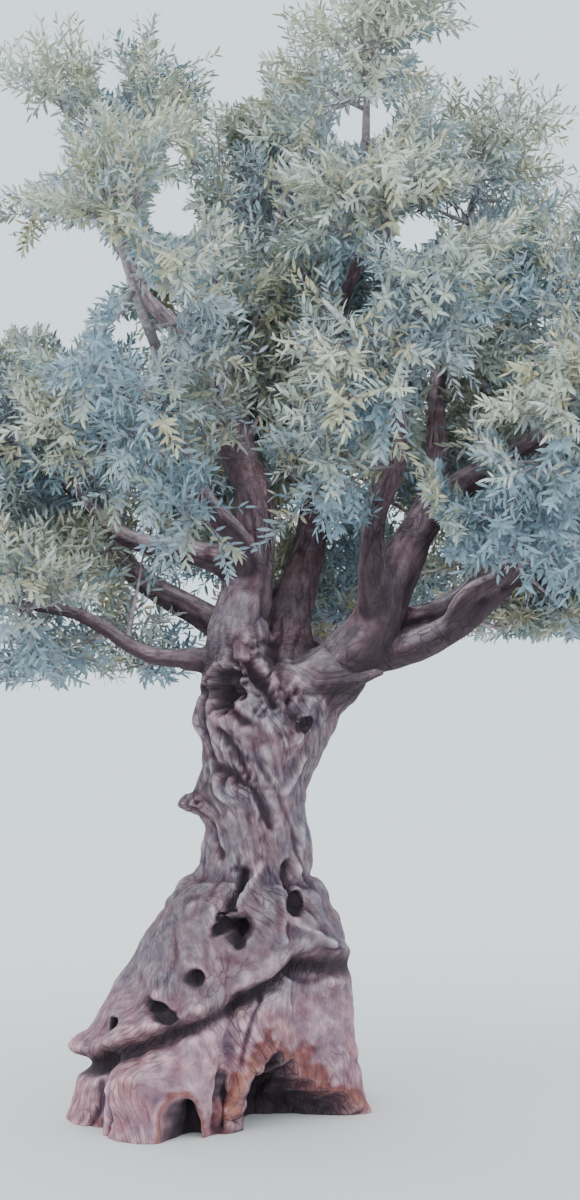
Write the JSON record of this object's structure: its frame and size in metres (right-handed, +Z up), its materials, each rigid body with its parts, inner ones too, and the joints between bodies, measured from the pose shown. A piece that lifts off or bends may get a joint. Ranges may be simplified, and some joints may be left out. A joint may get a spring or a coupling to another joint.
{
  "type": "olive tree",
  "caption": "Old olive tree with a hollowed, twisted trunk on a wide foot, spreading boughs and a full rounded crown.",
  "frame": {"origin": "centre of the flat cut at ground level", "axes": "+Z up the trunk, +X to the viewer's right, +Y away from the viewer"},
  "size_m": [5.1226, 3.9755, 5.6931],
  "materials": {
    "bark": "rough, furrowed",
    "foliage": "matt, silvery"
  },
  "bodies": {
    "root": {"trunk": "bark", "bough_back": "bark", "bough_back_low": "bark", "bough_leader": "bark", "bough_left_back": "bark", "bough_left_low": "bark", "bough_left_up": "bark", "bough_right_back": "bark", "bough_right_low": "bark", "bough_right_main": "bark", "broken_stub": "bark", "fork_front_left": "bark", "fork_front_right": "bark", "fork_front_top": "bark", "fork_left_top": "bark", "fork_left_wide": "bark", "fork_right_low": "bark", "fork_right_mid": "bark", "fork_right_top": "bark", "foliage_back": "foliage", "foliage_back_low": "foliage", "foliage_fork_front_left": "foliage", "foliage_fork_front_right": "foliage", "foliage_fork_front_top": "foliage", "foliage_fork_left_top": "foliage", "foliage_fork_left_wide": "foliage", "foliage_fork_right_low": "foliage", "foliage_fork_right_mid": "foliage", "foliage_fork_right_top": "foliage", "foliage_leader": "foliage", "foliage_left_back": "foliage", "foliage_left_low": "foliage", "foliage_left_up": "foliage", "foliage_right_back": "foliage", "foliage_right_low": "foliage", "foliage_right_main": "foliage"}
  },
  "joints": []
}
